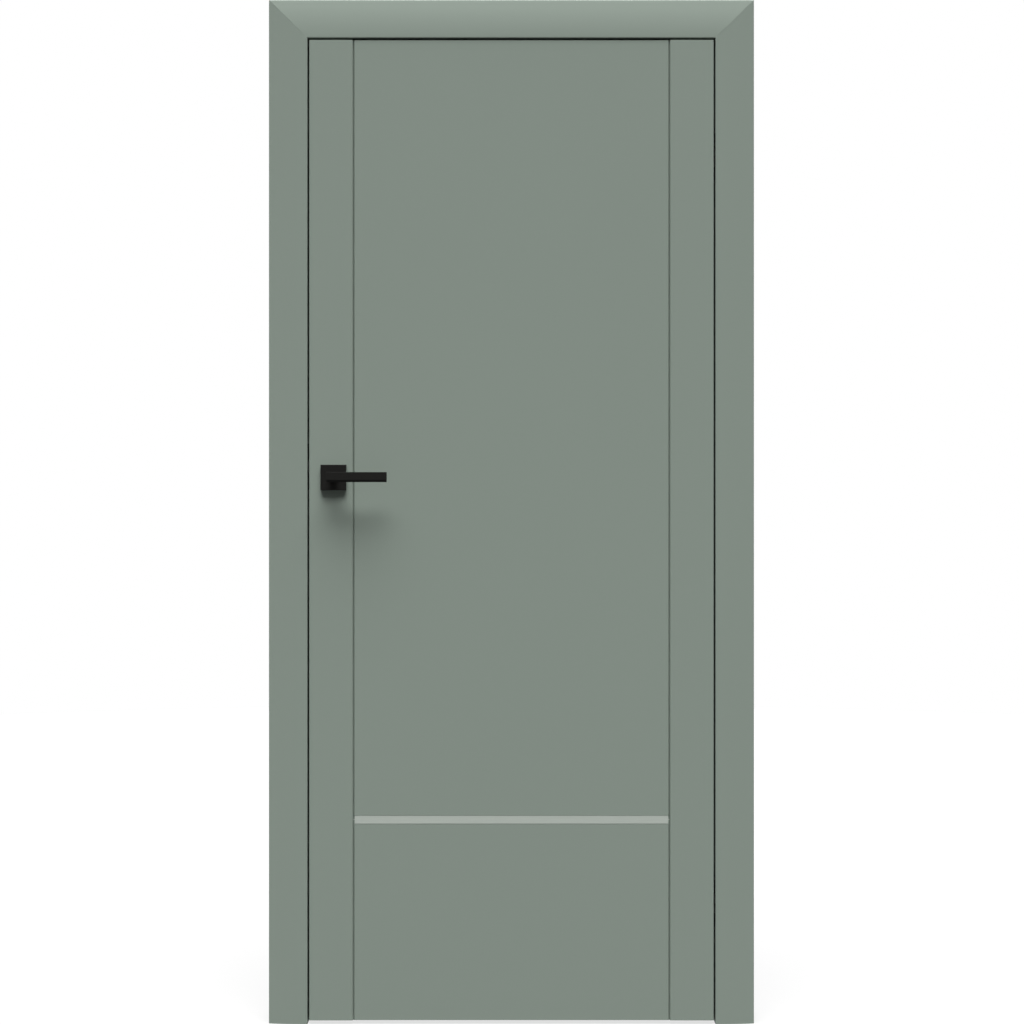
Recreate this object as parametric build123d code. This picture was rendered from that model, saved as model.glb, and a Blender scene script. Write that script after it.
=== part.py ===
from build123d import *
import os
from math import atan2, cos, degrees, hypot, radians

# Millimetres. X runs to the hinge side, Y away from the viewer and Z up from the floor.
# Pieces are drawn with Y counted from the front face of the closed leaf and moved to the middle on saving.

# Leaf
leaf_width = 842.0
leaf_height = 2040.0
leaf_thickness = 40.0
leaf_edge_round = 2.0
stile_width = 91.5
stile_inner_round = 4.0
panel_setback = 2.5
panel_bevel = 3.5
tongue_groove_width = 10.0
tongue_groove_depth = 12.0
glue_play = 0.2

# Aluminium strip between the panels
strip_rise = 408.7
strip_height = 17.0
strip_sink = 0.8
strip_gap = 0.8
strip_flange = 1.5
strip_web = 2.0
strip_edge_round = 0.4

# Gaps round the closed leaf
edge_gap = 3.5
head_gap = 4.2
floor_gap = 8.0

# Jambs
wall_thickness = 100.0
jamb_thickness = 40.0
jamb_rear_setback = 12.0
stop_height = 14.0
stop_gap = 4.0
stop_round = 2.0

# Casings
casing_width = 81.0
casing_depth = 20.0
casing_outer_depth = 12.7
casing_flat = 4.0
casing_lip = 4.0
casing_inner_round = 1.5
casing_outer_round = 2.0

# Sliding leg of the rear casing
rear_leg_cover = 4.0
rear_leg_thickness = 8.0
rear_leg_length = 50.0
rear_leg_spare = 10.0

# Seal
seal_root_width = 3.0
seal_root_depth = 5.0
seal_bulb_width = 9.0
seal_wall = 1.2
seal_play = 0.3

# Corner dowels
corner_dowel_diameter = 8.0
corner_dowel_length = 30.0

# Lever handle
handle_height = 1129.5
handle_backset = 51.0
lever_length = 113.5
lever_height = 20.5
lever_thickness = 10.0
lever_reach = 58.0
lever_lower_bevel = 4.5
lever_tip_bevel = 3.0
lever_edge_bevel = 0.4
lever_back_bevel = 1.0
lever_heel = 10.0
neck_diameter = 18.0
neck_play = 0.3
rose_size = 53.0
rose_thickness = 10.0
rose_wall = 1.6
rose_edge_bevel = 0.8
rose_base_thickness = 5.0
rose_bolt_spacing = 38.0
rose_bolt_diameter = 4.0
rose_bolt_head_diameter = 7.0
rose_bolt_head_height = 2.2
rose_bolt_room = 3.0
spindle_side = 8.0
spindle_play = 0.06
spindle_grip = 34.0
grub_diameter = 5.0
grub_length = 4.5
grub_from_leaf = 14.5

# Lock
faceplate_width = 20.0
faceplate_height = 196.0
faceplate_thickness = 3.0
faceplate_screw_inset = 9.0
faceplate_drop = 16.0
case_thickness = 15.6
case_height = 130.0
case_wall = 1.5
case_rear_room = 8.0
follower_diameter = 18.0
follower_arm_reach = 21.0
follower_arm_width = 6.0
follower_arm_thickness = 4.0
latch_width = 12.0
latch_height = 24.0
latch_throw = 12.0
latch_spare = 0.8
latch_rise = 23.0
latch_head_length = 20.0
latch_tail_height = 9.0
latch_tail_thickness = 2.5
latch_lug_length = 6.0
latch_play = 0.3
guide_distance = 22.0
spring_wire = 0.8
spring_bends = 6
spring_height = 8.0
lock_play = 0.4

# Strike
strike_width = 24.0
strike_height = 96.0
strike_thickness = 2.0
strike_room = 2.0
strike_box_wall = 1.2
strike_screw_inset = 12.0

# Concealed hinges
hinge_from_end = 240.0
hinge_axis_depth = 2.0
hinge_swing = 92.0
pivot_out = 5.5
pivot_back = 13.0
end_pin_out = 19.0
end_pin_back = 27.0
arm_height = 20.0
arm_width = 5.0
arm_boss_diameter = 8.0
arm_end_diameter = 5.6
arm_play = 0.4
pin_diameter = 4.0
end_pin_diameter = 3.0
pin_play = 0.05
pin_seat = 6.0
slot_pin_play = 0.3
slot_depth = 4.0
housing_wall = 1.6
housing_depth = 28.0
housing_front = 3.0
housing_back = 31.6
housing_height = 84.0
flange_height = 122.0
flange_thickness = 3.0
flange_screw_inset = 9.0
mortise_play = 0.3

# Screws
screw_head_diameter = 8.0
screw_head_height = 2.6
screw_diameter = 4.0
screw_length = 30.0
short_screw_length = 18.0
screw_play = 0.15

# Places that follow from the sizes
leaf_half = leaf_width / 2
leaf_bottom = floor_gap
leaf_top = floor_gap + leaf_height
leaf_middle = leaf_thickness / 2
panel_half = leaf_half - stile_width
strip_bottom = leaf_bottom + strip_rise
strip_top = strip_bottom + strip_height
strip_middle = (strip_bottom + strip_top) / 2
tongue_half = tongue_groove_width / 2 - glue_play
tongue_end = panel_half + tongue_groove_depth - glue_play
opening_half = leaf_half + edge_gap
opening_height = leaf_top + head_gap
stop_face = leaf_thickness + stop_gap
wall_rear = casing_depth + wall_thickness
frame_rear = wall_rear + casing_depth
jamb_rear = wall_rear - jamb_rear_setback
leg_inner = rear_leg_cover - stop_height
leg_end = wall_rear - rear_leg_length
mitre_reach = opening_half + 2 * casing_width
handle_x = handle_backset - leaf_half
handle_z = leaf_bottom + handle_height
latch_z = handle_z + latch_rise
latch_travel = latch_throw + latch_spare
case_front = faceplate_thickness - leaf_half
case_back = handle_x + rose_bolt_spacing / 2 + case_rear_room
case_bottom = latch_z + latch_height - case_height / 2 - faceplate_drop
case_near = leaf_middle - case_thickness / 2
case_far = leaf_middle + case_thickness / 2
plate_bottom = case_bottom + case_height / 2 - faceplate_height / 2
axis_x = leaf_half + edge_gap / 2
arms_half = arm_height + arm_play
housing_middle = (housing_front + housing_back) / 2
housing_width = housing_back - housing_front
mouth = edge_gap / 2
front_reach = lever_reach
rear_reach = max(frame_rear, leaf_thickness + lever_reach)
face_y = (front_reach - rear_reach) / 2


def save(name, *shapes):
    # Several shapes make one node of separate solids
    moved = [Pos(0, face_y, 0) * solid for shape in shapes for solid in shape.solids()]
    export_step(moved[0] if len(moved) == 1 else Compound(moved), f"parts/{name}.step")


def between(low, high):
    size = Vector(high) - Vector(low)
    middle = (Vector(high) + Vector(low)) / 2
    return Pos(middle) * Box(size.X, size.Y, size.Z)


def outline(points):
    return make_face(Polyline(*points, close=True))


def rounded(face, corners, radius):
    picked = []
    for corner in corners:
        picked.append(min(face.vertices(), key=lambda v: (Vector(v) - Vector(corner)).length))
    return fillet(picked, radius)


def rod(start, end, diameter):
    start, end = Vector(start), Vector(end)
    plane = Plane(origin=start, z_dir=end - start)
    return extrude(plane * Circle(diameter / 2), amount=(end - start).length)


def across_middle(shape):
    return mirror(shape, about=Plane(origin=(0, leaf_middle, 0), z_dir=(0, 1, 0)))


def countersunk(place, inward, length, play=0.0):
    # A countersunk screw, or with play the hole that takes it
    plane = Plane(origin=place, z_dir=inward)
    head = Cone(
        screw_head_diameter / 2 + play,
        screw_diameter / 2 + play,
        screw_head_height,
        align=(Align.CENTER, Align.CENTER, Align.MIN),
    )
    shank = Cylinder(
        screw_diameter / 2 + play, length + play, align=(Align.CENTER, Align.CENTER, Align.MIN)
    )
    return plane.location * (head + shank)


# Frame

def frame_member(profile, side):
    # The profile's X runs away from the opening and its Y into the wall
    low, high = -casing_width, 2 * casing_width
    if side == "head":
        plane = Plane(origin=(mitre_reach, 0, opening_height), x_dir=(0, 0, 1), z_dir=(-1, 0, 0))
        bar = extrude(plane * profile, amount=2 * mitre_reach)
        mask = outline([
            (-opening_half - low, opening_height + low),
            (opening_half + low, opening_height + low),
            (opening_half + high, opening_height + high),
            (-opening_half - high, opening_height + high),
        ])
    else:
        bar = extrude(Pos(opening_half, 0, 0) * profile, amount=opening_height + high)
        mask = outline([
            (opening_half + low, 0),
            (opening_half + high, 0),
            (opening_half + high, opening_height + high),
            (opening_half + low, opening_height + low),
        ])
    piece = bar & extrude(Plane.XZ * mask, amount=2 * frame_rear, both=True)
    return mirror(piece, about=Plane.YZ) if side == "latch" else piece


def jamb_profile():
    kerf_middle = -stop_height / 2
    kerf_low = kerf_middle - seal_root_width / 2
    kerf_high = kerf_middle + seal_root_width / 2
    kerf_bottom = stop_face + seal_root_depth
    groove_low = leg_inner - glue_play
    groove_high = leg_inner + rear_leg_thickness + glue_play
    groove_bottom = leg_end - rear_leg_spare
    face = outline([
        (0, casing_lip),
        (0, stop_face),
        (kerf_high, stop_face),
        (kerf_high, kerf_bottom),
        (kerf_low, kerf_bottom),
        (kerf_low, stop_face),
        (-stop_height, stop_face),
        (-stop_height, jamb_rear),
        (groove_low, jamb_rear),
        (groove_low, groove_bottom),
        (groove_high, groove_bottom),
        (groove_high, jamb_rear),
        (jamb_thickness, jamb_rear),
        (jamb_thickness, casing_lip),
    ])
    return rounded(face, [(-stop_height, stop_face), (-stop_height, jamb_rear)], stop_round)


def front_casing_profile():
    shoulder = casing_depth - casing_outer_depth
    lines = [
        Polyline((casing_width, shoulder), (casing_width, casing_depth), (jamb_thickness, casing_depth),
                 (jamb_thickness, casing_lip), (0, casing_lip), (0, 0), (casing_flat, 0)),
        TangentArc((casing_flat, 0), (casing_width, shoulder), tangent=(1, 0)),
    ]
    face = rounded(make_face(lines), [(0, 0)], casing_inner_round)
    return rounded(face, [(casing_width, shoulder)], casing_outer_round)


def rear_casing_profile():
    outer = leg_inner + casing_width
    shoulder = wall_rear + casing_outer_depth
    lines = [
        Polyline((outer, shoulder), (outer, wall_rear), (leg_inner + rear_leg_thickness, wall_rear),
                 (leg_inner + rear_leg_thickness, leg_end), (leg_inner, leg_end), (leg_inner, frame_rear),
                 (leg_inner + casing_flat, frame_rear)),
        TangentArc((leg_inner + casing_flat, frame_rear), (outer, shoulder), tangent=(1, 0)),
    ]
    face = rounded(make_face(lines), [(leg_inner, frame_rear)], casing_inner_round)
    return rounded(face, [(outer, shoulder)], casing_outer_round)


def half_round(middle, width, base, tip):
    return make_face([
        Line((middle - width / 2, base), (middle + width / 2, base)),
        ThreePointArc((middle + width / 2, base), (middle, tip), (middle - width / 2, base)),
    ])


def seal_profile():
    middle = -stop_height / 2
    tip = leaf_thickness + seal_play
    bulb = half_round(middle, seal_bulb_width, stop_face, tip)
    hollow = half_round(middle, seal_bulb_width - 2 * seal_wall, stop_face - seal_wall, tip + seal_wall)
    root_half = seal_root_width / 2 - glue_play
    root = outline([
        (middle - root_half, stop_face - seal_wall),
        (middle + root_half, stop_face - seal_wall),
        (middle + root_half, stop_face + seal_root_depth - glue_play),
        (middle - root_half, stop_face + seal_root_depth - glue_play),
    ])
    return bulb - hollow + root


def corner_dowel_lines():
    middle = jamb_thickness / 2
    half = corner_dowel_length / 2 * cos(radians(45))
    depths = (stop_face / 2 + casing_lip, (leg_end + jamb_rear) / 2)
    lines = []
    for sign in (-1, 1):
        for depth in depths:
            x, z = opening_half + middle, opening_height + middle
            lines.append(((sign * (x - half), depth, z + half), (sign * (x + half), depth, z - half)))
    return lines


def corner_dowels():
    return [rod(start, end, corner_dowel_diameter) for start, end in corner_dowel_lines()]


def corner_dowel_holes():
    holes = []
    for start, end in corner_dowel_lines():
        reach = (Vector(end) - Vector(start)).normalized() * glue_play
        holes.append(rod(Vector(start) - reach, Vector(end) + reach, corner_dowel_diameter + glue_play))
    return holes


def strike_screw_places():
    reach = strike_height / 2 - strike_screw_inset
    return [(-opening_half, leaf_middle, latch_z + reach), (-opening_half, leaf_middle, latch_z - reach)]


def strike_pocket(play):
    half_width = latch_width / 2 + strike_room + play
    half_height = latch_height / 2 + strike_room + play
    back = opening_half + latch_throw + strike_room + play
    return between(
        (-back, leaf_middle - half_width, latch_z - half_height),
        (-opening_half, leaf_middle + half_width, latch_z + half_height),
    )


def strike_plate():
    plate = between(
        (-opening_half - strike_thickness, leaf_middle - strike_width / 2, latch_z - strike_height / 2),
        (-opening_half, leaf_middle + strike_width / 2, latch_z + strike_height / 2),
    )
    plate -= strike_pocket(0)
    for place in strike_screw_places():
        plate -= countersunk(place, (-1, 0, 0), short_screw_length, screw_play)
    return plate


def strike_box():
    shell = strike_pocket(strike_box_wall) & between(
        (-mitre_reach, 0, 0), (-opening_half - strike_thickness, leaf_thickness, leaf_top)
    )
    return shell - strike_pocket(0)


def latch_jamb(profile):
    jamb = frame_member(profile, "latch") - corner_dowel_holes()
    jamb -= between(
        (-opening_half - strike_thickness, leaf_middle - strike_width / 2 - mortise_play,
         latch_z - strike_height / 2 - mortise_play),
        (-opening_half, leaf_middle + strike_width / 2 + mortise_play,
         latch_z + strike_height / 2 + mortise_play),
    )
    jamb -= strike_pocket(strike_box_wall + glue_play)
    for place in strike_screw_places():
        jamb -= countersunk(place, (-1, 0, 0), short_screw_length, screw_play)
    return jamb


# Concealed hinges, drawn round the swing axis and turned half round Y for the leaf's side

def hinge_heights():
    return {"bottom": leaf_bottom + hinge_from_end, "top": leaf_top - hinge_from_end}


def at_hinge(shape, height):
    return Pos(axis_x, hinge_axis_depth, height) * shape


def turned(shape):
    return Rot(0, 180, 0) * shape


def bar_face(start, end, width):
    run = Vector(end) - Vector(start)
    middle = (Vector(end) + Vector(start)) / 2
    return Pos(middle) * Rot(0, 0, degrees(atan2(run.Y, run.X))) * Rectangle(run.length, width)


def hinge_slot_face(height, width, play):
    plane = Plane(origin=(mouth, housing_middle, 0), x_dir=(0, 1, 0), z_dir=(1, 0, 0))
    return plane * SlotOverall(height + 2 * play, width + 2 * play, rotation=90)


def hinge_arm(centre_play):
    # Frame arm: pivot in the frame housing, cross pin in the gap and end pin in the leaf housing
    pivot, centre, end = (pivot_out, pivot_back), (0, 2 * pivot_back), (-end_pin_out, end_pin_back)
    face = bar_face(pivot, centre, arm_width) + bar_face(centre, end, arm_width)
    face += Pos(*pivot) * Circle(arm_boss_diameter / 2)
    face += Pos(*centre) * Circle(arm_boss_diameter / 2)
    face += Pos(*end) * Circle(arm_end_diameter / 2)
    face -= Pos(*pivot) * Circle(pin_diameter / 2 + pin_play)
    face -= Pos(*centre) * Circle(pin_diameter / 2 + centre_play)
    face -= Pos(*end) * Circle(end_pin_diameter / 2 + pin_play)
    return Pos(0, 0, -arm_height - arm_play / 2) * extrude(face, amount=arm_height)


def hinge_pivot_pin():
    low = -arms_half - pin_seat
    return rod((pivot_out, pivot_back, low), (pivot_out, pivot_back, -arm_play), pin_diameter)


def hinge_centre_pin():
    reach = arm_height + arm_play / 2
    return rod((0, 2 * pivot_back, -reach), (0, 2 * pivot_back, reach), pin_diameter)


def hinge_end_pin():
    low = -arms_half - slot_depth + arm_play
    return rod((-end_pin_out, end_pin_back, low), (-end_pin_out, end_pin_back, -arm_play), end_pin_diameter)


def hinge_screw_places():
    reach = flange_height / 2 - flange_screw_inset
    return [(mouth, housing_middle, reach), (mouth, housing_middle, -reach)]


def hinge_block(play):
    block = extrude(hinge_slot_face(housing_height, housing_width, play), amount=housing_depth + play)
    return block + extrude(hinge_slot_face(flange_height, housing_width, play), amount=flange_thickness)


def hinge_housing():
    housing = hinge_block(0)
    housing -= between(
        (mouth, housing_front + housing_wall, -arms_half),
        (mouth + housing_depth - housing_wall, housing_back - housing_wall, arms_half),
    )
    housing -= rod(
        (pivot_out, pivot_back, -arms_half - pin_seat),
        (pivot_out, pivot_back, 0),
        pin_diameter + 2 * pin_play,
    )
    track = CenterArc(
        (end_pin_out + pivot_out, end_pin_back - pivot_back),
        hypot(pivot_out, pivot_back),
        degrees(atan2(pivot_back, -pivot_out)),
        hinge_swing,
    )
    slot = SlotArc(track, end_pin_diameter + 2 * slot_pin_play)
    housing -= Pos(0, 0, arms_half) * extrude(slot, amount=slot_depth)
    for place in hinge_screw_places():
        housing -= countersunk(place, (1, 0, 0), screw_length, screw_play)
    return housing


def hinge_screws():
    return [countersunk(place, (1, 0, 0), screw_length) for place in hinge_screw_places()]


def hinge_mortise():
    hole = hinge_block(mortise_play)
    for place in hinge_screw_places():
        hole += countersunk(place, (1, 0, 0), screw_length, screw_play)
    return hole


def hinge_jamb(profile):
    jamb = frame_member(profile, "hinge") - corner_dowel_holes()
    for height in hinge_heights().values():
        jamb -= at_hinge(hinge_mortise(), height)
    return jamb


# Leaf

def stile():
    groove_half = tongue_groove_width / 2
    inner = panel_half
    face = outline([
        (leaf_half, 0),
        (leaf_half, leaf_thickness),
        (inner, leaf_thickness),
        (inner, leaf_middle + groove_half),
        (inner + tongue_groove_depth, leaf_middle + groove_half),
        (inner + tongue_groove_depth, leaf_middle - groove_half),
        (inner, leaf_middle - groove_half),
        (inner, 0),
    ])
    face = rounded(face, [(leaf_half, 0), (leaf_half, leaf_thickness)], leaf_edge_round)
    face = rounded(face, [(inner, 0), (inner, leaf_thickness)], stile_inner_round)
    return Pos(0, 0, leaf_bottom) * extrude(face, amount=leaf_height)


def hinge_stile():
    piece = stile()
    for height in hinge_heights().values():
        piece -= at_hinge(turned(hinge_mortise()), height)
    return piece


def rose_bolt_places():
    half = rose_bolt_spacing / 2
    return [(handle_x - half, handle_z), (handle_x + half, handle_z)]


def latch_stile():
    piece = mirror(stile(), about=Plane.YZ)
    piece -= between(
        (-leaf_half, leaf_middle - faceplate_width / 2 - mortise_play, plate_bottom - mortise_play),
        (case_front, leaf_middle + faceplate_width / 2 + mortise_play,
         plate_bottom + faceplate_height + mortise_play),
    )
    piece -= between(
        (case_front, case_near - mortise_play, case_bottom - mortise_play),
        (case_back + mortise_play, case_far + mortise_play, case_bottom + case_height + mortise_play),
    )
    handle_hole = follower_diameter + rose_bolt_room
    piece -= rod((handle_x, 0, handle_z), (handle_x, leaf_thickness, handle_z), handle_hole)
    for x, z in rose_bolt_places():
        piece -= rod((x, 0, z), (x, leaf_thickness, z), rose_bolt_diameter + rose_bolt_room)
    for place in faceplate_screw_places():
        piece -= countersunk(place, (1, 0, 0), screw_length, screw_play)
    return piece


def panel(bottom, top):
    near, far = panel_setback, leaf_thickness - panel_setback
    plan = outline([
        (-panel_half, near + panel_bevel),
        (-panel_half + panel_bevel, near),
        (panel_half - panel_bevel, near),
        (panel_half, near + panel_bevel),
        (panel_half, leaf_middle - tongue_half),
        (tongue_end, leaf_middle - tongue_half),
        (tongue_end, leaf_middle + tongue_half),
        (panel_half, leaf_middle + tongue_half),
        (panel_half, far - panel_bevel),
        (panel_half - panel_bevel, far),
        (-panel_half + panel_bevel, far),
        (-panel_half, far - panel_bevel),
        (-panel_half, leaf_middle + tongue_half),
        (-tongue_end, leaf_middle + tongue_half),
        (-tongue_end, leaf_middle - tongue_half),
        (-panel_half, leaf_middle - tongue_half),
    ])
    board = Pos(0, 0, bottom) * extrude(plan, amount=top - bottom)
    rebate = between(
        (-panel_half, 0, strip_bottom - strip_gap),
        (panel_half, near + strip_sink + strip_flange + glue_play, strip_top + glue_play),
    )
    return board - rebate - across_middle(rebate)


def joining_strip():
    # H section: the flanges lie in the panels' rebates and the web's tongues in the stiles' grooves
    half = panel_half - glue_play
    front = panel_setback + strip_sink
    flange = between((-half, front, strip_bottom), (half, front + strip_flange, strip_top))
    edges = flange.faces().sort_by(Axis.Y)[0].edges().filter_by(Axis.X)
    flange = fillet(edges, strip_edge_round)
    web_low, web_high = strip_middle - strip_web / 2, strip_middle + strip_web / 2
    web = between((-half, front, web_low), (half, leaf_thickness - front, web_high))
    web += between(
        (-tongue_end, leaf_middle - tongue_half, web_low), (tongue_end, leaf_middle + tongue_half, web_high)
    )
    return flange + web + across_middle(flange)


# Lever handle

def square_rod(start, end, side):
    half = side / 2
    return between((handle_x - half, start, handle_z - half), (handle_x + half, end, handle_z + half))


def lever():
    front, back = -lever_reach, lever_thickness - lever_reach
    half = lever_height / 2
    section = outline([
        (front, -half + lever_lower_bevel),
        (front, half - lever_edge_bevel),
        (front + lever_edge_bevel, half),
        (back - lever_back_bevel, half),
        (back, half - lever_back_bevel),
        (back, -half + lever_back_bevel),
        (back - lever_back_bevel, -half),
        (front + lever_lower_bevel, -half),
    ])
    plan = outline([
        (-lever_heel + lever_edge_bevel, front),
        (lever_length - lever_tip_bevel, front),
        (lever_length, front + lever_tip_bevel),
        (lever_length, back - lever_back_bevel),
        (lever_length - lever_back_bevel, back),
        (-lever_heel, back),
        (-lever_heel, front + lever_edge_bevel),
    ])
    grip = extrude(Plane.YZ * section, amount=2 * lever_length, both=True)
    grip &= extrude(plan, amount=lever_height, both=True)
    grip = Pos(handle_x, 0, handle_z) * grip
    grip += rod((handle_x, back, handle_z), (handle_x, -glue_play, handle_z), neck_diameter)
    grip -= square_rod(-spindle_grip - spindle_play, 0, spindle_side + 2 * spindle_play)
    grip -= rod(
        (handle_x, -grub_from_leaf, handle_z),
        (handle_x, -grub_from_leaf, handle_z - neck_diameter),
        grub_diameter + glue_play,
    )
    return grip


def grub_screw():
    top = handle_z - spindle_side / 2 - spindle_play
    return rod(
        (handle_x, -grub_from_leaf, top), (handle_x, -grub_from_leaf, top - grub_length), grub_diameter
    )


def rose_cover():
    half = rose_size / 2
    shell = between(
        (handle_x - half, -rose_thickness, handle_z - half), (handle_x + half, 0, handle_z + half)
    )
    edges = shell.faces().sort_by(Axis.Y)[0].edges()
    shell = chamfer(edges, rose_edge_bevel)
    inner = half - rose_wall
    shell -= between(
        (handle_x - inner, rose_wall - rose_thickness, handle_z - inner),
        (handle_x + inner, 0, handle_z + inner),
    )
    return shell - rod(
        (handle_x, -rose_thickness, handle_z), (handle_x, 0, handle_z), neck_diameter + 2 * neck_play
    )


def rose_base():
    half = rose_size / 2 - rose_wall - glue_play
    plate = between(
        (handle_x - half, -rose_base_thickness, handle_z - half), (handle_x + half, 0, handle_z + half)
    )
    neck_hole = neck_diameter + 2 * neck_play
    plate -= rod((handle_x, -rose_thickness, handle_z), (handle_x, 0, handle_z), neck_hole)
    for x, z in rose_bolt_places():
        plate -= rod((x, -rose_thickness, z), (x, 0, z), rose_bolt_diameter + glue_play)
    return plate


def rear_rose_base():
    plate = across_middle(rose_base())
    seat = leaf_thickness + rose_base_thickness - rose_bolt_head_height
    for x, z in rose_bolt_places():
        plate -= rod((x, seat, z), (x, seat + rose_thickness, z), rose_bolt_head_diameter + glue_play)
    return plate


def rose_bolts():
    seat = leaf_thickness + rose_base_thickness - rose_bolt_head_height
    bolts = []
    for x, z in rose_bolt_places():
        shank = rod((x, glue_play - rose_base_thickness, z), (x, seat, z), rose_bolt_diameter)
        head = rod((x, seat, z), (x, seat + rose_bolt_head_height, z), rose_bolt_head_diameter)
        bolts.append(shank + head)
    return bolts


def spindle():
    return square_rod(-spindle_grip, leaf_thickness + spindle_grip, spindle_side)


# Lock

def faceplate_screw_places():
    low = plate_bottom + faceplate_screw_inset
    high = plate_bottom + faceplate_height - faceplate_screw_inset
    return [(-leaf_half, leaf_middle, low), (-leaf_half, leaf_middle, high)]


def latch_opening():
    half_width = latch_width / 2 + latch_play
    half_height = latch_height / 2 + latch_play
    return between(
        (-leaf_half, leaf_middle - half_width, latch_z - half_height),
        (case_front + case_wall, leaf_middle + half_width, latch_z + half_height),
    )


def faceplate():
    plate = between(
        (-leaf_half, leaf_middle - faceplate_width / 2, plate_bottom),
        (case_front, leaf_middle + faceplate_width / 2, plate_bottom + faceplate_height),
    )
    plate -= latch_opening()
    for place in faceplate_screw_places():
        plate -= countersunk(place, (1, 0, 0), screw_length, screw_play)
    return plate


def case_holes(near, far):
    holes = [rod((handle_x, near, handle_z), (handle_x, far, handle_z), follower_diameter + 2 * latch_play)]
    for x, z in rose_bolt_places():
        holes.append(rod((x, near, z), (x, far, z), rose_bolt_diameter + rose_bolt_room))
    return holes


def lock_case():
    lid = case_far - case_wall
    case = between((case_front, case_near, case_bottom), (case_back, lid, case_bottom + case_height))
    case -= between(
        (case_front + case_wall, case_near + case_wall, case_bottom + case_wall),
        (case_back - case_wall, lid, case_bottom + case_height - case_wall),
    )
    case -= latch_opening()
    case -= case_holes(case_near, lid)
    guide = between(
        (handle_x - guide_distance, case_near + case_wall, latch_z - latch_height / 2),
        (handle_x - guide_distance + case_wall, lid, latch_z + latch_height / 2),
    )
    half = latch_tail_height / 2 + latch_play
    guide -= between(
        (handle_x - guide_distance, leaf_middle - latch_play, latch_z - half),
        (handle_x, leaf_middle + latch_tail_thickness + latch_play, latch_z + half),
    )
    return case + guide


def lock_cover():
    lid = between(
        (case_front, case_far - case_wall, case_bottom), (case_back, case_far, case_bottom + case_height)
    )
    return lid - case_holes(case_near, case_far)


def lock_follower():
    arm_far = leaf_middle - lock_play
    hub = rod((handle_x, case_near, handle_z), (handle_x, case_far, handle_z), follower_diameter)
    hub += between(
        (handle_x - follower_arm_width / 2, arm_far - follower_arm_thickness, handle_z),
        (handle_x + follower_arm_width / 2, arm_far, handle_z + follower_arm_reach),
    )
    return hub - square_rod(case_near, case_far, spindle_side + 2 * spindle_play)


def latch_bolt():
    tip = -leaf_half - latch_throw
    near, far = leaf_middle - latch_width / 2, leaf_middle + latch_width / 2
    face = outline([
        (tip, near),
        (tip, near + latch_width / 4),
        (-leaf_half - latch_spare, far),
        (tip + latch_head_length, far),
        (tip + latch_head_length, near),
    ])
    bolt = Pos(0, 0, latch_z - latch_height / 2) * extrude(face, amount=latch_height)
    lug_start = handle_x + follower_arm_width / 2 + latch_spare
    low = latch_z - latch_tail_height / 2
    bolt += between(
        (tip + latch_head_length, leaf_middle, low),
        (lug_start + latch_lug_length, leaf_middle + latch_tail_thickness, low + latch_tail_height),
    )
    bolt += between(
        (lug_start, leaf_middle - lock_play - follower_arm_thickness,
         handle_z + follower_diameter / 2 + latch_travel / 2),
        (lug_start + latch_lug_length, leaf_middle + latch_tail_thickness, low + latch_tail_height),
    )
    return bolt


def latch_spring():
    # Folded wire between the back of the bolt's head and the guide
    start = latch_head_length - leaf_half - latch_throw + spring_wire
    end = handle_x - guide_distance - spring_wire
    points = []
    for bend in range(spring_bends + 1):
        side = spring_height / 2 if bend % 2 else -spring_height / 2
        points.append((start + (end - start) * bend / spring_bends, latch_z + side))
    path = trace(Polyline(*points), line_width=spring_wire)
    spring = extrude(Plane.XZ * path, amount=spring_wire)
    return Pos(0, leaf_middle - lock_play, 0) * spring


# Save every piece
os.makedirs("parts", exist_ok=True)

for kind, profile in (
    ("front_casing", front_casing_profile()),
    ("rear_casing", rear_casing_profile()),
    ("seal", seal_profile()),
):
    for side in ("latch", "hinge", "head"):
        save(f"{kind}_{side}", frame_member(profile, side))
save("jamb_latch", latch_jamb(jamb_profile()))
save("jamb_hinge", hinge_jamb(jamb_profile()))
save("jamb_head", frame_member(jamb_profile(), "head") - corner_dowel_holes())
save("corner_dowels", *corner_dowels())
save("strike_plate", strike_plate())
save("strike_box", strike_box())
save("strike_screws", *[
    countersunk(place, (-1, 0, 0), short_screw_length) for place in strike_screw_places()
])

frame_pins, leaf_pins, centre_pins, frame_end_pins, leaf_end_pins = [], [], [], [], []
frame_screws, leaf_screws = [], []
for name, height in hinge_heights().items():
    save(f"hinge_{name}_frame_housing", at_hinge(hinge_housing(), height))
    save(f"hinge_{name}_leaf_housing", at_hinge(turned(hinge_housing()), height))
    save(f"hinge_{name}_frame_arm", at_hinge(hinge_arm(glue_play / 2), height))
    save(f"hinge_{name}_leaf_arm", at_hinge(turned(hinge_arm(pin_play)), height))
    frame_pins.append(at_hinge(hinge_pivot_pin(), height))
    leaf_pins.append(at_hinge(turned(hinge_pivot_pin()), height))
    centre_pins.append(at_hinge(hinge_centre_pin(), height))
    frame_end_pins.append(at_hinge(hinge_end_pin(), height))
    leaf_end_pins.append(at_hinge(turned(hinge_end_pin()), height))
    frame_screws += [at_hinge(screw, height) for screw in hinge_screws()]
    leaf_screws += [at_hinge(turned(screw), height) for screw in hinge_screws()]
save("hinge_frame_pins", *frame_pins)
save("hinge_leaf_pins", *leaf_pins)
save("hinge_centre_pins", *centre_pins)
save("hinge_frame_arm_pins", *frame_end_pins)
save("hinge_leaf_arm_pins", *leaf_end_pins)
save("hinge_frame_screws", *frame_screws)
save("hinge_leaf_screws", *leaf_screws)

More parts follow.
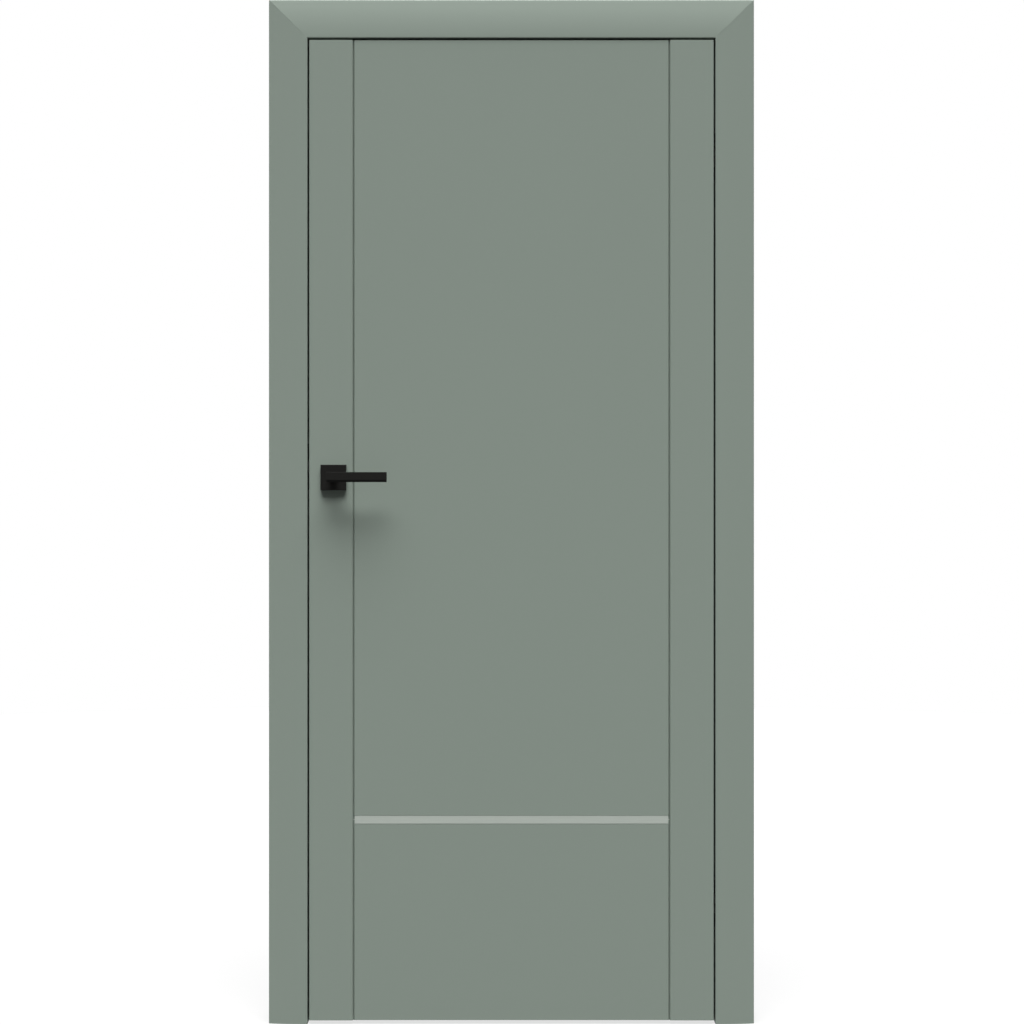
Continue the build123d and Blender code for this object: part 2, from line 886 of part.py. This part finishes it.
save("stile_latch", latch_stile())
save("stile_hinge", hinge_stile())
panel_parting = strip_web / 2 + glue_play / 2
save("panel_upper", panel(strip_middle + panel_parting, leaf_top))
save("panel_lower", panel(leaf_bottom, strip_middle - panel_parting))
save("joining_strip", joining_strip())
save("lock_case", lock_case())
save("lock_cover", lock_cover())
save("lock_faceplate", faceplate())
save("lock_faceplate_screws", *[
    countersunk(place, (1, 0, 0), screw_length) for place in faceplate_screw_places()
])
save("latch_bolt", latch_bolt())
save("latch_spring", latch_spring())
save("lock_follower", lock_follower())
save("spindle", spindle())
save("rose_bolts", *rose_bolts())
save("rose_base_front", rose_base())
save("rose_base_rear", rear_rose_base())
save("rose_cover_front", rose_cover())
save("rose_cover_rear", across_middle(rose_cover()))
save("lever_front", lever())
save("lever_rear", across_middle(lever()))
save("grub_screws", grub_screw(), across_middle(grub_screw()))
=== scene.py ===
import math
import bmesh
import bpy
from mathutils import Matrix, Vector


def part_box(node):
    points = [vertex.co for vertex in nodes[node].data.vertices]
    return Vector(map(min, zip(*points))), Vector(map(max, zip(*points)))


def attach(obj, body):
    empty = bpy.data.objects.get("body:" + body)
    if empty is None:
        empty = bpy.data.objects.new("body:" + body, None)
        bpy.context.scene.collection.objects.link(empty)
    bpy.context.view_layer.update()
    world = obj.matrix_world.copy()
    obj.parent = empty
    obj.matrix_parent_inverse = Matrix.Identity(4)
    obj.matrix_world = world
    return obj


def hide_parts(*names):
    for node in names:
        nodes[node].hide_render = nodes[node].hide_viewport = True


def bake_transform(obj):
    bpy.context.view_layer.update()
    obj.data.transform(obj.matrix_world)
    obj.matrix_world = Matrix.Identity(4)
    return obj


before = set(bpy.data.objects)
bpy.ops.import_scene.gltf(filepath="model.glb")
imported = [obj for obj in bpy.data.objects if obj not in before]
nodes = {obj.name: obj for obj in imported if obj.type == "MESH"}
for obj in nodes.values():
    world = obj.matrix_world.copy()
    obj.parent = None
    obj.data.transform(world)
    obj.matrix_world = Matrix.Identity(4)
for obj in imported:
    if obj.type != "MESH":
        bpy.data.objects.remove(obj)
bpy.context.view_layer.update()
print("frame:", len(nodes), "pieces")

weldDistance = 1e-6  # points nearer than this are one, in metres


def addNode(tree, kind, inputs=None, **settings):
    # values go on the sockets, outputs of other nodes are linked to them
    node = tree.nodes.new(kind)
    for name, value in settings.items():
        setattr(node, name, value)
    for name, value in (inputs or {}).items():
        socket = node.inputs[name]
        if isinstance(value, bpy.types.NodeSocket):
            tree.links.new(value, socket)
        else:
            socket.default_value = value
    return node


def maths(tree, operation, first, second=0.0, third=0.0):
    inputs = {0: first, 1: second, 2: third}
    return addNode(tree, "ShaderNodeMath", inputs, operation=operation).outputs[0]


def addSockets(tree, inputs, outputs):
    # the named sockets of a tree, then its two ends
    for way, sockets in (("INPUT", inputs), ("OUTPUT", outputs)):
        for label, kind in sockets.items():
            tree.interface.new_socket(label, in_out=way, socket_type="NodeSocket" + kind)
    return tree.nodes.new("NodeGroupInput").outputs, tree.nodes.new("NodeGroupOutput").inputs


def newGrain(name, ownInput, ownKind):
    # sockets that every finish uses, and one that this grain has for itself
    tree = bpy.data.node_groups.new(name, "ShaderNodeTree")
    inputs = {"Place": "Vector", "Tone": "Color", "Tone Drift": "Float", "Roughness": "Float",
              "Roughness Drift": "Float", ownInput: ownKind}
    outputs = {"Color": "Color", "Roughness": "Float", "Height": "Float"}
    return tree, *addSockets(tree, inputs, outputs)


def noiseOver(tree, place, scale, detail):
    return addNode(tree, "ShaderNodeTexNoise", {"Vector": place, "Scale": scale, "Detail": detail}).outputs[0]


def aboutZero(tree, noise):
    # from 0..1 to -1..1
    return maths(tree, "MULTIPLY_ADD", noise, 2.0, -1.0)


def giveGrain(tree, given, made, toneDrift, roughnessDrift, height):
    level = maths(tree, "MULTIPLY_ADD", toneDrift, given["Tone Drift"], 1.0)
    tone = addNode(tree, "ShaderNodeVectorMath", {0: given["Tone"], "Scale": level}, operation="SCALE")
    roughness = maths(tree, "MULTIPLY_ADD", roughnessDrift, given["Roughness Drift"], given["Roughness"])
    tree.links.new(tone.outputs[0], made["Color"])
    tree.links.new(roughness, made["Roughness"])
    tree.links.new(height, made["Height"])


# sprayed finish: slow drift of tone, patches of gloss, fine pebble on longer waves
coatGrainLook = {"driftScale": 2.6, "driftDetail": 4.0, "patchScale": 38.0, "patchDetail": 3.0,
                 "pebbleDetail": 2.0, "waveShare": 0.22}


def makeCoatGrain(look):
    tree, given, made = newGrain("coatGrain", "Pebble Scale", "Float")
    place = given["Place"]
    slow = noiseOver(tree, place, look["driftScale"], look["driftDetail"])
    patch = noiseOver(tree, place, look["patchScale"], look["patchDetail"])
    pebble = noiseOver(tree, place, given["Pebble Scale"], look["pebbleDetail"])
    waveScale = maths(tree, "MULTIPLY", given["Pebble Scale"], look["waveShare"])
    wave = noiseOver(tree, place, waveScale, look["pebbleDetail"])
    height = maths(tree, "ADD", pebble, wave)
    giveGrain(tree, given, made, aboutZero(tree, slow), aboutZero(tree, patch), height)
    return tree


# fine parallel lines along one direction
brushedLinesLook = {"lineScale": 1.0, "lineDetail": 4.0}


def makeBrushedLines(look):
    tree, given, made = newGrain("brushedLines", "Stretch", "Vector")
    drawn = addNode(tree, "ShaderNodeVectorMath", {
        0: given["Place"], 1: given["Stretch"]}, operation="MULTIPLY")
    lines = noiseOver(tree, drawn.outputs[0], look["lineScale"], look["lineDetail"])
    drift = aboutZero(tree, lines)
    giveGrain(tree, given, made, drift, drift, lines)
    return tree


def newMaterial(name, specular, metallic=0.0):
    material = bpy.data.materials.new(name)
    material.use_nodes = True
    tree = material.node_tree
    tree.nodes.clear()
    shader = addNode(tree, "ShaderNodeBsdfPrincipled", {"Specular IOR Level": specular, "Metallic": metallic})
    out = tree.nodes.new("ShaderNodeOutputMaterial")
    tree.links.new(shader.outputs[0], out.inputs[0])
    return material, tree, shader


def finish(name, look, group, grainInput):
    material, tree, shader = newMaterial(name, look["specular"], look["metallic"])
    place = tree.nodes.new("ShaderNodeTexCoord").outputs["Object"]
    grain = addNode(tree, "ShaderNodeGroup", {
        "Place": place, "Tone": (*look["tone"], 1.0), "Tone Drift": look["toneDrift"],
        "Roughness": look["roughness"], "Roughness Drift": look["roughnessDrift"],
        grainInput: look["grain"]}, node_tree=group)
    bump = addNode(tree, "ShaderNodeBump", {
        "Strength": look["bump"], "Distance": look["bumpDepth"], "Height": grain.outputs["Height"]})
    tree.links.new(grain.outputs["Color"], shader.inputs["Base Color"])
    tree.links.new(grain.outputs["Roughness"], shader.inputs["Roughness"])
    tree.links.new(bump.outputs[0], shader.inputs["Normal"])
    return material


coatGrain = makeCoatGrain(coatGrainLook)
brushedLines = makeBrushedLines(brushedLinesLook)

sagePaintLook = {"tone": (0.207, 0.246, 0.214), "toneDrift": 0.012, "specular": 0.15, "metallic": 0.0,
                 "roughness": 0.56, "roughnessDrift": 0.05, "grain": 900.0,
                 "bump": 0.10, "bumpDepth": 0.0004}
blackCoatLook = {"tone": (0.0104, 0.0103, 0.0096), "toneDrift": 0.06, "specular": 0.05, "metallic": 0.0,
                 "roughness": 0.46, "roughnessDrift": 0.06, "grain": 2600.0,
                 "bump": 0.22, "bumpDepth": 0.0003}
castBlackLook = {"tone": (0.021, 0.021, 0.022), "toneDrift": 0.08, "specular": 0.5, "metallic": 0.25,
                 "roughness": 0.40, "roughnessDrift": 0.08, "grain": 1500.0,
                 "bump": 0.12, "bumpDepth": 0.0003}
rubberLook = {"tone": (0.020, 0.021, 0.020), "toneDrift": 0.10, "specular": 0.25, "metallic": 0.0,
              "roughness": 0.72, "roughnessDrift": 0.06, "grain": 2200.0,
              "bump": 0.15, "bumpDepth": 0.0003}
nylonLook = {"tone": (0.030, 0.030, 0.031), "toneDrift": 0.05, "specular": 0.5, "metallic": 0.0,
             "roughness": 0.48, "roughnessDrift": 0.05, "grain": 1800.0,
             "bump": 0.10, "bumpDepth": 0.0002}
steelLook = {"tone": (0.60, 0.60, 0.59), "toneDrift": 0.05, "specular": 0.5, "metallic": 1.0,
             "roughness": 0.30, "roughnessDrift": 0.08, "grain": (3200.0, 3200.0, 60.0),
             "bump": 0.06, "bumpDepth": 0.0002}
aluminiumLook = {"tone": (0.343, 0.375, 0.343), "toneDrift": 0.09, "specular": 0.5, "metallic": 1.0,
                 "roughness": 0.46, "roughnessDrift": 0.08, "grain": (30.0, 1500.0, 1500.0),
                 "bump": 0.12, "bumpDepth": 0.0002}
beechLook = {"tone": (0.50, 0.33, 0.20), "toneDrift": 0.22, "specular": 0.5, "metallic": 0.0,
             "roughness": 0.62, "roughnessDrift": 0.08, "grain": (60.0, 900.0, 900.0),
             "bump": 0.25, "bumpDepth": 0.0004}

finishes = {
    "sage_paint": finish("sagePaint", sagePaintLook, coatGrain, "Pebble Scale"),
    "black_metal": finish("blackCoat", blackCoatLook, coatGrain, "Pebble Scale"),
    "zinc_black": finish("castBlack", castBlackLook, coatGrain, "Pebble Scale"),
    "seal_rubber": finish("sealRubber", rubberLook, coatGrain, "Pebble Scale"),
    "latch_nylon": finish("latchNylon", nylonLook, coatGrain, "Pebble Scale"),
    "steel": finish("brightSteel", steelLook, brushedLines, "Stretch"),
    "aluminium": finish("mattAluminium", aluminiumLook, brushedLines, "Stretch"),
    "beech": finish("beechWood", beechLook, brushedLines, "Stretch"),
}
print("finishes:", ", ".join(sorted(finishes)))

slotOf = {}
for name, piece in nodes.items():
    slotOf[name] = piece.material_slots[0].material.name.split(".")[0]
    piece.material_slots[0].material = finishes[slotOf[name]]


def newScrewTree(name, *lengths):
    # the points to stand on, the screw's lengths in metres, how it is drawn, the way in and the finish
    tree = bpy.data.node_groups.new(name, "GeometryNodeTree")
    inputs = {"Places": "Geometry"}
    inputs.update({label: "Float" for label in lengths})
    inputs.update({
        "Crease": "Float", "Sides": "Int", "Seed": "Int", "Inward": "Vector", "Finish": "Material"})
    return tree, *addSockets(tree, inputs, {"Screws": "Geometry"})


def joined(tree, *shapes):
    node = tree.nodes.new("GeometryNodeJoinGeometry")
    for shape in shapes:
        tree.links.new(shape, node.inputs[0])
    return node.outputs[0]


def raised(tree, shape, height):
    lift = addNode(tree, "ShaderNodeCombineXYZ", {"Z": height}).outputs[0]
    return addNode(tree, "GeometryNodeTransform", {"Geometry": shape, "Translation": lift}).outputs[0]


def cutOut(tree, shape, *tools):
    node = addNode(tree, "GeometryNodeMeshBoolean", {0: shape}, operation="DIFFERENCE", solver="EXACT")
    for tool in tools:
        tree.links.new(tool, node.inputs[1])
    return node.outputs[0]


def turned(tree, given, start, run, nearRadius, farRadius, ends="NONE"):
    # one stretch of a turned outline, open unless its ends are filled
    wall = addNode(tree, "GeometryNodeMeshCone", {
        "Vertices": given["Sides"], "Radius Bottom": nearRadius, "Radius Top": farRadius, "Depth": run},
        fill_type=ends)
    return raised(tree, wall.outputs[0], start)


def coreOf(tree, given):
    # radius of the shank under its thread
    return maths(tree, "SUBTRACT", maths(tree, "DIVIDE", given["Shank Width"], 2.0), given["Thread Height"])


def threadAround(tree, given, radius, start, end):
    # a three-sided ridge wound along the shank
    run = maths(tree, "SUBTRACT", end, start)
    path = addNode(tree, "GeometryNodeCurveSpiral", {
        "Resolution": given["Sides"], "Rotations": maths(tree, "DIVIDE", run, given["Thread Pitch"]),
        "Start Radius": radius, "End Radius": radius, "Height": run})
    ridge = addNode(tree, "GeometryNodeCurvePrimitiveCircle", {
        "Resolution": 3, "Radius": given["Thread Height"]})
    wound = addNode(tree, "GeometryNodeCurveToMesh", {
        "Curve": path.outputs[0], "Profile Curve": ridge.outputs[0], "Fill Caps": True})
    return raised(tree, wound.outputs[0], start)


def setOnPlaces(tree, given, made, shape):
    # one copy on each point, pointing inward and turned by chance about its own length
    aim = addNode(tree, "FunctionNodeAlignRotationToVector", {"Vector": given["Inward"]}, axis="Z")
    chance = addNode(tree, "FunctionNodeRandomValue", {"Seed": given["Seed"]}, data_type="FLOAT")
    angle = maths(tree, "MULTIPLY", chance.outputs[1], math.tau)
    turn = addNode(tree, "FunctionNodeAxisAngleToRotation", {"Axis": (0.0, 0.0, 1.0), "Angle": angle})
    stance = addNode(tree, "FunctionNodeRotateRotation", {
        "Rotation": aim.outputs[0], "Rotate By": turn.outputs[0]}, rotation_space="LOCAL")
    copies = addNode(tree, "GeometryNodeInstanceOnPoints", {
        "Points": given["Places"], "Instance": shape, "Rotation": stance.outputs[0]})
    real = addNode(tree, "GeometryNodeRealizeInstances", {0: copies.outputs[0]})
    edge = tree.nodes.new("GeometryNodeInputMeshEdgeAngle").outputs[0]
    sharp = addNode(tree, "FunctionNodeCompare", {0: edge, 1: given["Crease"]}, operation="GREATER_THAN")
    soft = addNode(tree, "GeometryNodeSetShadeSmooth", {"Geometry": real.outputs[0], "Shade Smooth": True})
    crisp = addNode(tree, "GeometryNodeSetShadeSmooth", {
        "Geometry": soft.outputs[0], "Selection": sharp.outputs[0], "Shade Smooth": False}, domain="EDGE")
    dressed = addNode(tree, "GeometryNodeSetMaterial", {
        "Geometry": crisp.outputs[0], "Material": given["Finish"]})
    tree.links.new(dressed.outputs[0], made["Screws"])


def makePlateScrew():
    # countersunk head with a cross recess, threaded shank and point
    tree, given, made = newScrewTree(
        "plateScrew", "Length", "Head Width", "Head Depth", "Shank Width", "Cross Width", "Cross Slot",
        "Cross Depth", "Thread Pitch", "Thread Height")
    headRadius = maths(tree, "DIVIDE", given["Head Width"], 2.0)
    coreRadius = coreOf(tree, given)
    tipStart = maths(tree, "SUBTRACT", given["Length"], given["Shank Width"])
    coreRun = maths(tree, "SUBTRACT", tipStart, given["Head Depth"])
    face = addNode(tree, "GeometryNodeMeshCircle", {
        "Vertices": given["Sides"], "Radius": headRadius}, fill_type="NGON")
    outward = addNode(tree, "GeometryNodeFlipFaces", {"Mesh": face.outputs[0]})
    outline = joined(
        tree, outward.outputs[0],
        turned(tree, given, 0.0, given["Head Depth"], headRadius, coreRadius),
        turned(tree, given, given["Head Depth"], coreRun, coreRadius, coreRadius),
        turned(tree, given, tipStart, given["Shank Width"], coreRadius, 0.0))
    blank = addNode(tree, "GeometryNodeMergeByDistance", {"Geometry": outline, "Distance": weldDistance})
    crossDepth = maths(tree, "MULTIPLY", given["Cross Depth"], 2.0)  # half of it is above the face
    arms = []
    for first, second in (("Cross Width", "Cross Slot"), ("Cross Slot", "Cross Width")):
        size = addNode(tree, "ShaderNodeCombineXYZ", {"X": given[first], "Y": given[second], "Z": crossDepth})
        arms.append(addNode(tree, "GeometryNodeMeshCube", {"Size": size.outputs[0]}).outputs[0])
    thread = threadAround(tree, given, coreRadius, given["Head Depth"], tipStart)
    setOnPlaces(tree, given, made, joined(tree, cutOut(tree, blank.outputs[0], *arms), thread))
    return tree


def makeSocketScrew():
    # headless screw with a six-sided socket
    tree, given, made = newScrewTree(
        "socketScrew", "Length", "Shank Width", "Socket Width", "Socket Depth", "Thread Pitch",
        "Thread Height")
    coreRadius = coreOf(tree, given)
    blank = turned(tree, given, 0.0, given["Length"], coreRadius, coreRadius, ends="NGON")
    socketRadius = maths(tree, "DIVIDE", given["Socket Width"], math.sqrt(3.0))  # width is across the flats
    socketRun = maths(tree, "MULTIPLY", given["Socket Depth"], 2.0)  # half of it is above the face
    socket = addNode(tree, "GeometryNodeMeshCylinder", {
        "Vertices": 6, "Radius": socketRadius, "Depth": socketRun})
    threadEnd = maths(tree, "SUBTRACT", given["Length"], given["Thread Pitch"])
    thread = threadAround(tree, given, coreRadius, given["Thread Pitch"], threadEnd)
    setOnPlaces(tree, given, made, joined(tree, cutOut(tree, blank, socket.outputs[0]), thread))
    return tree


def outerPlaces(node, inward, look):
    # middles of the outer end faces of a group of screws
    points = [vertex.co.copy() for vertex in nodes[node].data.vertices]
    outermost = min(point.dot(inward) for point in points)
    groups = []
    for point in points:
        if point.dot(inward) - outermost > look["endReach"]:
            continue
        near = [group for group in groups if (group[0] - point).length < look["spacing"]]
        if near:
            near[0].append(point)
        else:
            groups.append([point])
    middles = []
    for group in groups:
        low = Vector([min(axis) for axis in zip(*group)])
        high = Vector([max(axis) for axis in zip(*group)])
        middles.append((low + high) / 2.0)
    return middles


def inputName(label):
    # headWidth goes to the input Head Width
    return "".join(" " + letter if letter.isupper() else letter for letter in label).title()


def addScrews(name, node, body, inward, tree, look):
    # stands for the CAD group of the same length at the same places
    inward = Vector(inward)
    low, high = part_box(node)
    values = {inputName(label): value for label, value in look.items()}
    values["Length"] = abs((high - low).dot(inward))
    values["Inward"] = inward
    values["Finish"] = finishes[slotOf[node]]
    points = bpy.data.meshes.new(name)
    points.from_pydata(outerPlaces(node, inward, look), [], [])
    piece = bpy.data.objects.new(name, points)
    bpy.context.scene.collection.objects.link(piece)
    modifier = piece.modifiers.new(name, "NODES")
    modifier.node_group = tree
    for item in tree.interface.items_tree:
        if item.in_out == "INPUT" and item.name in values:
            modifier[item.identifier] = values[item.name]
    ready = piece.evaluated_get(bpy.context.evaluated_depsgraph_get())
    mesh = bpy.data.meshes.new_from_object(ready)
    piece.modifiers.clear()
    piece.data = mesh
    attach(piece, body)
    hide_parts(node)
    print("screws:", name, len(points.vertices), "places,", len(mesh.polygons), "faces")


# endReach and spacing tell which points of the CAD group are one screw's outer end
plateScrewLook = {"headWidth": 0.008, "headDepth": 0.0026, "shankWidth": 0.004, "crossWidth": 0.0044,
                  "crossSlot": 0.0010, "crossDepth": 0.0015, "threadPitch": 0.0018, "threadHeight": 0.0005,
                  "crease": math.radians(32.0), "sides": 36, "seed": 7, "endReach": 0.0001, "spacing": 0.012}
socketScrewLook = {"shankWidth": 0.005, "socketWidth": 0.0025, "socketDepth": 0.0022, "threadPitch": 0.0008,
                   "threadHeight": 0.0003, "crease": math.radians(32.0), "sides": 36, "seed": 3,
                   "endReach": 0.0001, "spacing": 0.0075}
plateScrew = makePlateScrew()
socketScrew = makeSocketScrew()
for name, node, body, inward in (
    ("strikeScrews", "strike_screws", "frame", (-1.0, 0.0, 0.0)),
    ("hingeFrameScrews", "hinge_frame_screws", "frame", (1.0, 0.0, 0.0)),
    ("hingeLeafScrews", "hinge_leaf_screws", "leaf", (-1.0, 0.0, 0.0)),
    ("faceplateScrews", "lock_faceplate_screws", "leaf", (1.0, 0.0, 0.0)),
):
    addScrews(name, node, body, inward, plateScrew, plateScrewLook)
addScrews("leverGrubScrews", "grub_screws", "lever_set", (0.0, 0.0, 1.0), socketScrew, socketScrewLook)


def copyOf(node, name):
    # the node's triangles joined up, as a new piece with the same finish
    mesh = nodes[node].data.copy()
    shape = bmesh.new()
    shape.from_mesh(mesh)
    bmesh.ops.remove_doubles(shape, verts=shape.verts, dist=weldDistance)
    shape.to_mesh(mesh)
    shape.free()
    piece = bpy.data.objects.new(name, mesh)
    bpy.context.scene.collection.objects.link(piece)
    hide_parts(node)
    return piece


# the strip's flanges stop where the panels' edges turn away into the joints
stripLook = {"node": "joining_strip", "endCut": 0.003, "flange": 0.0015, "web": 0.002}
strip = copyOf(stripLook["node"], "joiningStrip")
stripLow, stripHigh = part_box(stripLook["node"])
nearReach = stripLow.y + stripLook["flange"] + weldDistance
farReach = stripHigh.y - stripLook["flange"] - weldDistance
flangePoints = [point for point in strip.data.vertices if not nearReach < point.co.y < farReach]
flangeEnd = max(point.co.x for point in flangePoints)
for point in flangePoints:
    if abs(point.co.x) > flangeEnd - stripLook["endCut"]:
        point.co.x -= math.copysign(stripLook["endCut"], point.co.x)
stripMiddle = (stripLow + stripHigh) / 2.0
webDepth = stripHigh.y - stripLow.y - 2.0 * stripLook["flange"]
webSize = Vector((stripLook["endCut"], webDepth, stripLook["web"]))
shape = bmesh.new()
shape.from_mesh(strip.data)
for side in (-1.0, 1.0):
    # the web behind them still reaches the stiles
    webPlace = Vector((side * (flangeEnd - stripLook["endCut"] / 2.0), stripMiddle.y, stripMiddle.z))
    bmesh.ops.create_cube(shape, size=1.0, matrix=Matrix.LocRotScale(webPlace, None, webSize))
shape.to_mesh(strip.data)
shape.free()
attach(strip, "leaf")
print("strip's ends cut back")

# the latch's spring as a joined-up piece of its own, with its place baked into its points
springLook = {"node": "latch_spring", "still": "leaf", "moving": "latch", "endShare": 0.04}
spring = copyOf(springLook["node"], "latchSpring")
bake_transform(spring)

# camera straight in front, level with the middle of the frame
cameraView = {"distance": 4.3, "height": 1.0658, "aside": 0.00114, "span": 2.1304, "sensor": 36.0}
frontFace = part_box("stile_latch")[0].y
cameraData = bpy.data.cameras.new("photoView")
cameraData.sensor_fit = "HORIZONTAL"
cameraData.sensor_width = cameraView["sensor"]
cameraData.lens = cameraView["sensor"] * cameraView["distance"] / cameraView["span"]
camera = bpy.data.objects.new("photoView", cameraData)
camera.location = (cameraView["aside"], frontFace - cameraView["distance"], cameraView["height"])
camera.rotation_euler = (math.radians(90.0), 0.0, 0.0)
bpy.context.scene.collection.objects.link(camera)
bpy.context.scene.camera = camera

# wide soft key high in front, weaker lamps beside and behind for the other sides
studioLight = {
    "key": {"strength": 7.5, "elevation": 66.0, "spread": 31.0, "turns": (-39.0, -13.0, 13.0, 39.0)},
    "side": {"strength": 1.3, "elevation": 35.0, "spread": 50.0, "turns": (-104.0, 104.0)},
    "rear": {"strength": 3.4, "elevation": 50.0, "spread": 50.0, "turns": (180.0,)},
    "fill": 0.10,
}


def addLamps(name, look):
    # the strength is that of all the lamps together
    for number, turn in enumerate(look["turns"]):
        lamp = bpy.data.lights.new(f"{name}Lamp{number}", "SUN")
        lamp.energy = look["strength"] / len(look["turns"])
        lamp.angle = math.radians(look["spread"])
        holder = bpy.data.objects.new(lamp.name, lamp)
        holder.rotation_euler = (math.radians(90.0 - look["elevation"]), 0.0, math.radians(turn))
        bpy.context.scene.collection.objects.link(holder)


for lampSet in ("key", "side", "rear"):
    addLamps(lampSet, studioLight[lampSet])


def seenDirectly(tree):
    path = tree.nodes.new("ShaderNodeLightPath").outputs
    first = maths(tree, "MAXIMUM", path["Is Camera Ray"], path["Is Glossy Ray"])
    return maths(tree, "MAXIMUM", first, path["Is Transmission Ray"])


# white where it is seen, a weak fill where it lights
white = (1.0, 1.0, 1.0, 1.0)
world = bpy.data.worlds.new("paleRoom")
bpy.context.scene.world = world
world.use_nodes = True
worldTree = world.node_tree
worldTree.nodes.clear()
whiteRise = 1.0 - studioLight["fill"]
strength = maths(worldTree, "MULTIPLY_ADD", seenDirectly(worldTree), whiteRise, studioLight["fill"])
background = addNode(worldTree, "ShaderNodeBackground", {"Color": white, "Strength": strength})
worldOut = worldTree.nodes.new("ShaderNodeOutputWorld")
worldTree.links.new(background.outputs[0], worldOut.inputs[0])

# pale floor that keeps the shadow
floorLook = {"radius": 7.0, "sides": 96, "seenTone": 0.10, "bounceTone": 0.06, "seenGlow": 0.72,
             "roughness": 0.8}
floorMesh = bpy.data.meshes.new("paleFloor")
shape = bmesh.new()
bmesh.ops.create_circle(shape, cap_ends=True, segments=floorLook["sides"], radius=floorLook["radius"])
shape.to_mesh(floorMesh)
shape.free()
floor = bpy.data.objects.new("paleFloor", floorMesh)
bpy.context.scene.collection.objects.link(floor)
floorMaterial, floorTree, floorShader = newMaterial("paleFloor", specular=0.0)
floorShader.inputs["Roughness"].default_value = floorLook["roughness"]
floorShader.inputs["Emission Color"].default_value = white
floorSeen = seenDirectly(floorTree)
toneRise = floorLook["seenTone"] - floorLook["bounceTone"]
floorTone = maths(floorTree, "MULTIPLY_ADD", floorSeen, toneRise, floorLook["bounceTone"])
floorTree.links.new(floorTone, floorShader.inputs["Base Color"])
glow = maths(floorTree, "MULTIPLY", floorSeen, floorLook["seenGlow"])
floorTree.links.new(glow, floorShader.inputs["Emission Strength"])
floorMesh.materials.append(floorMaterial)
print("camera, light and floor ready")

bpy.context.scene.view_settings.view_transform = "Standard"
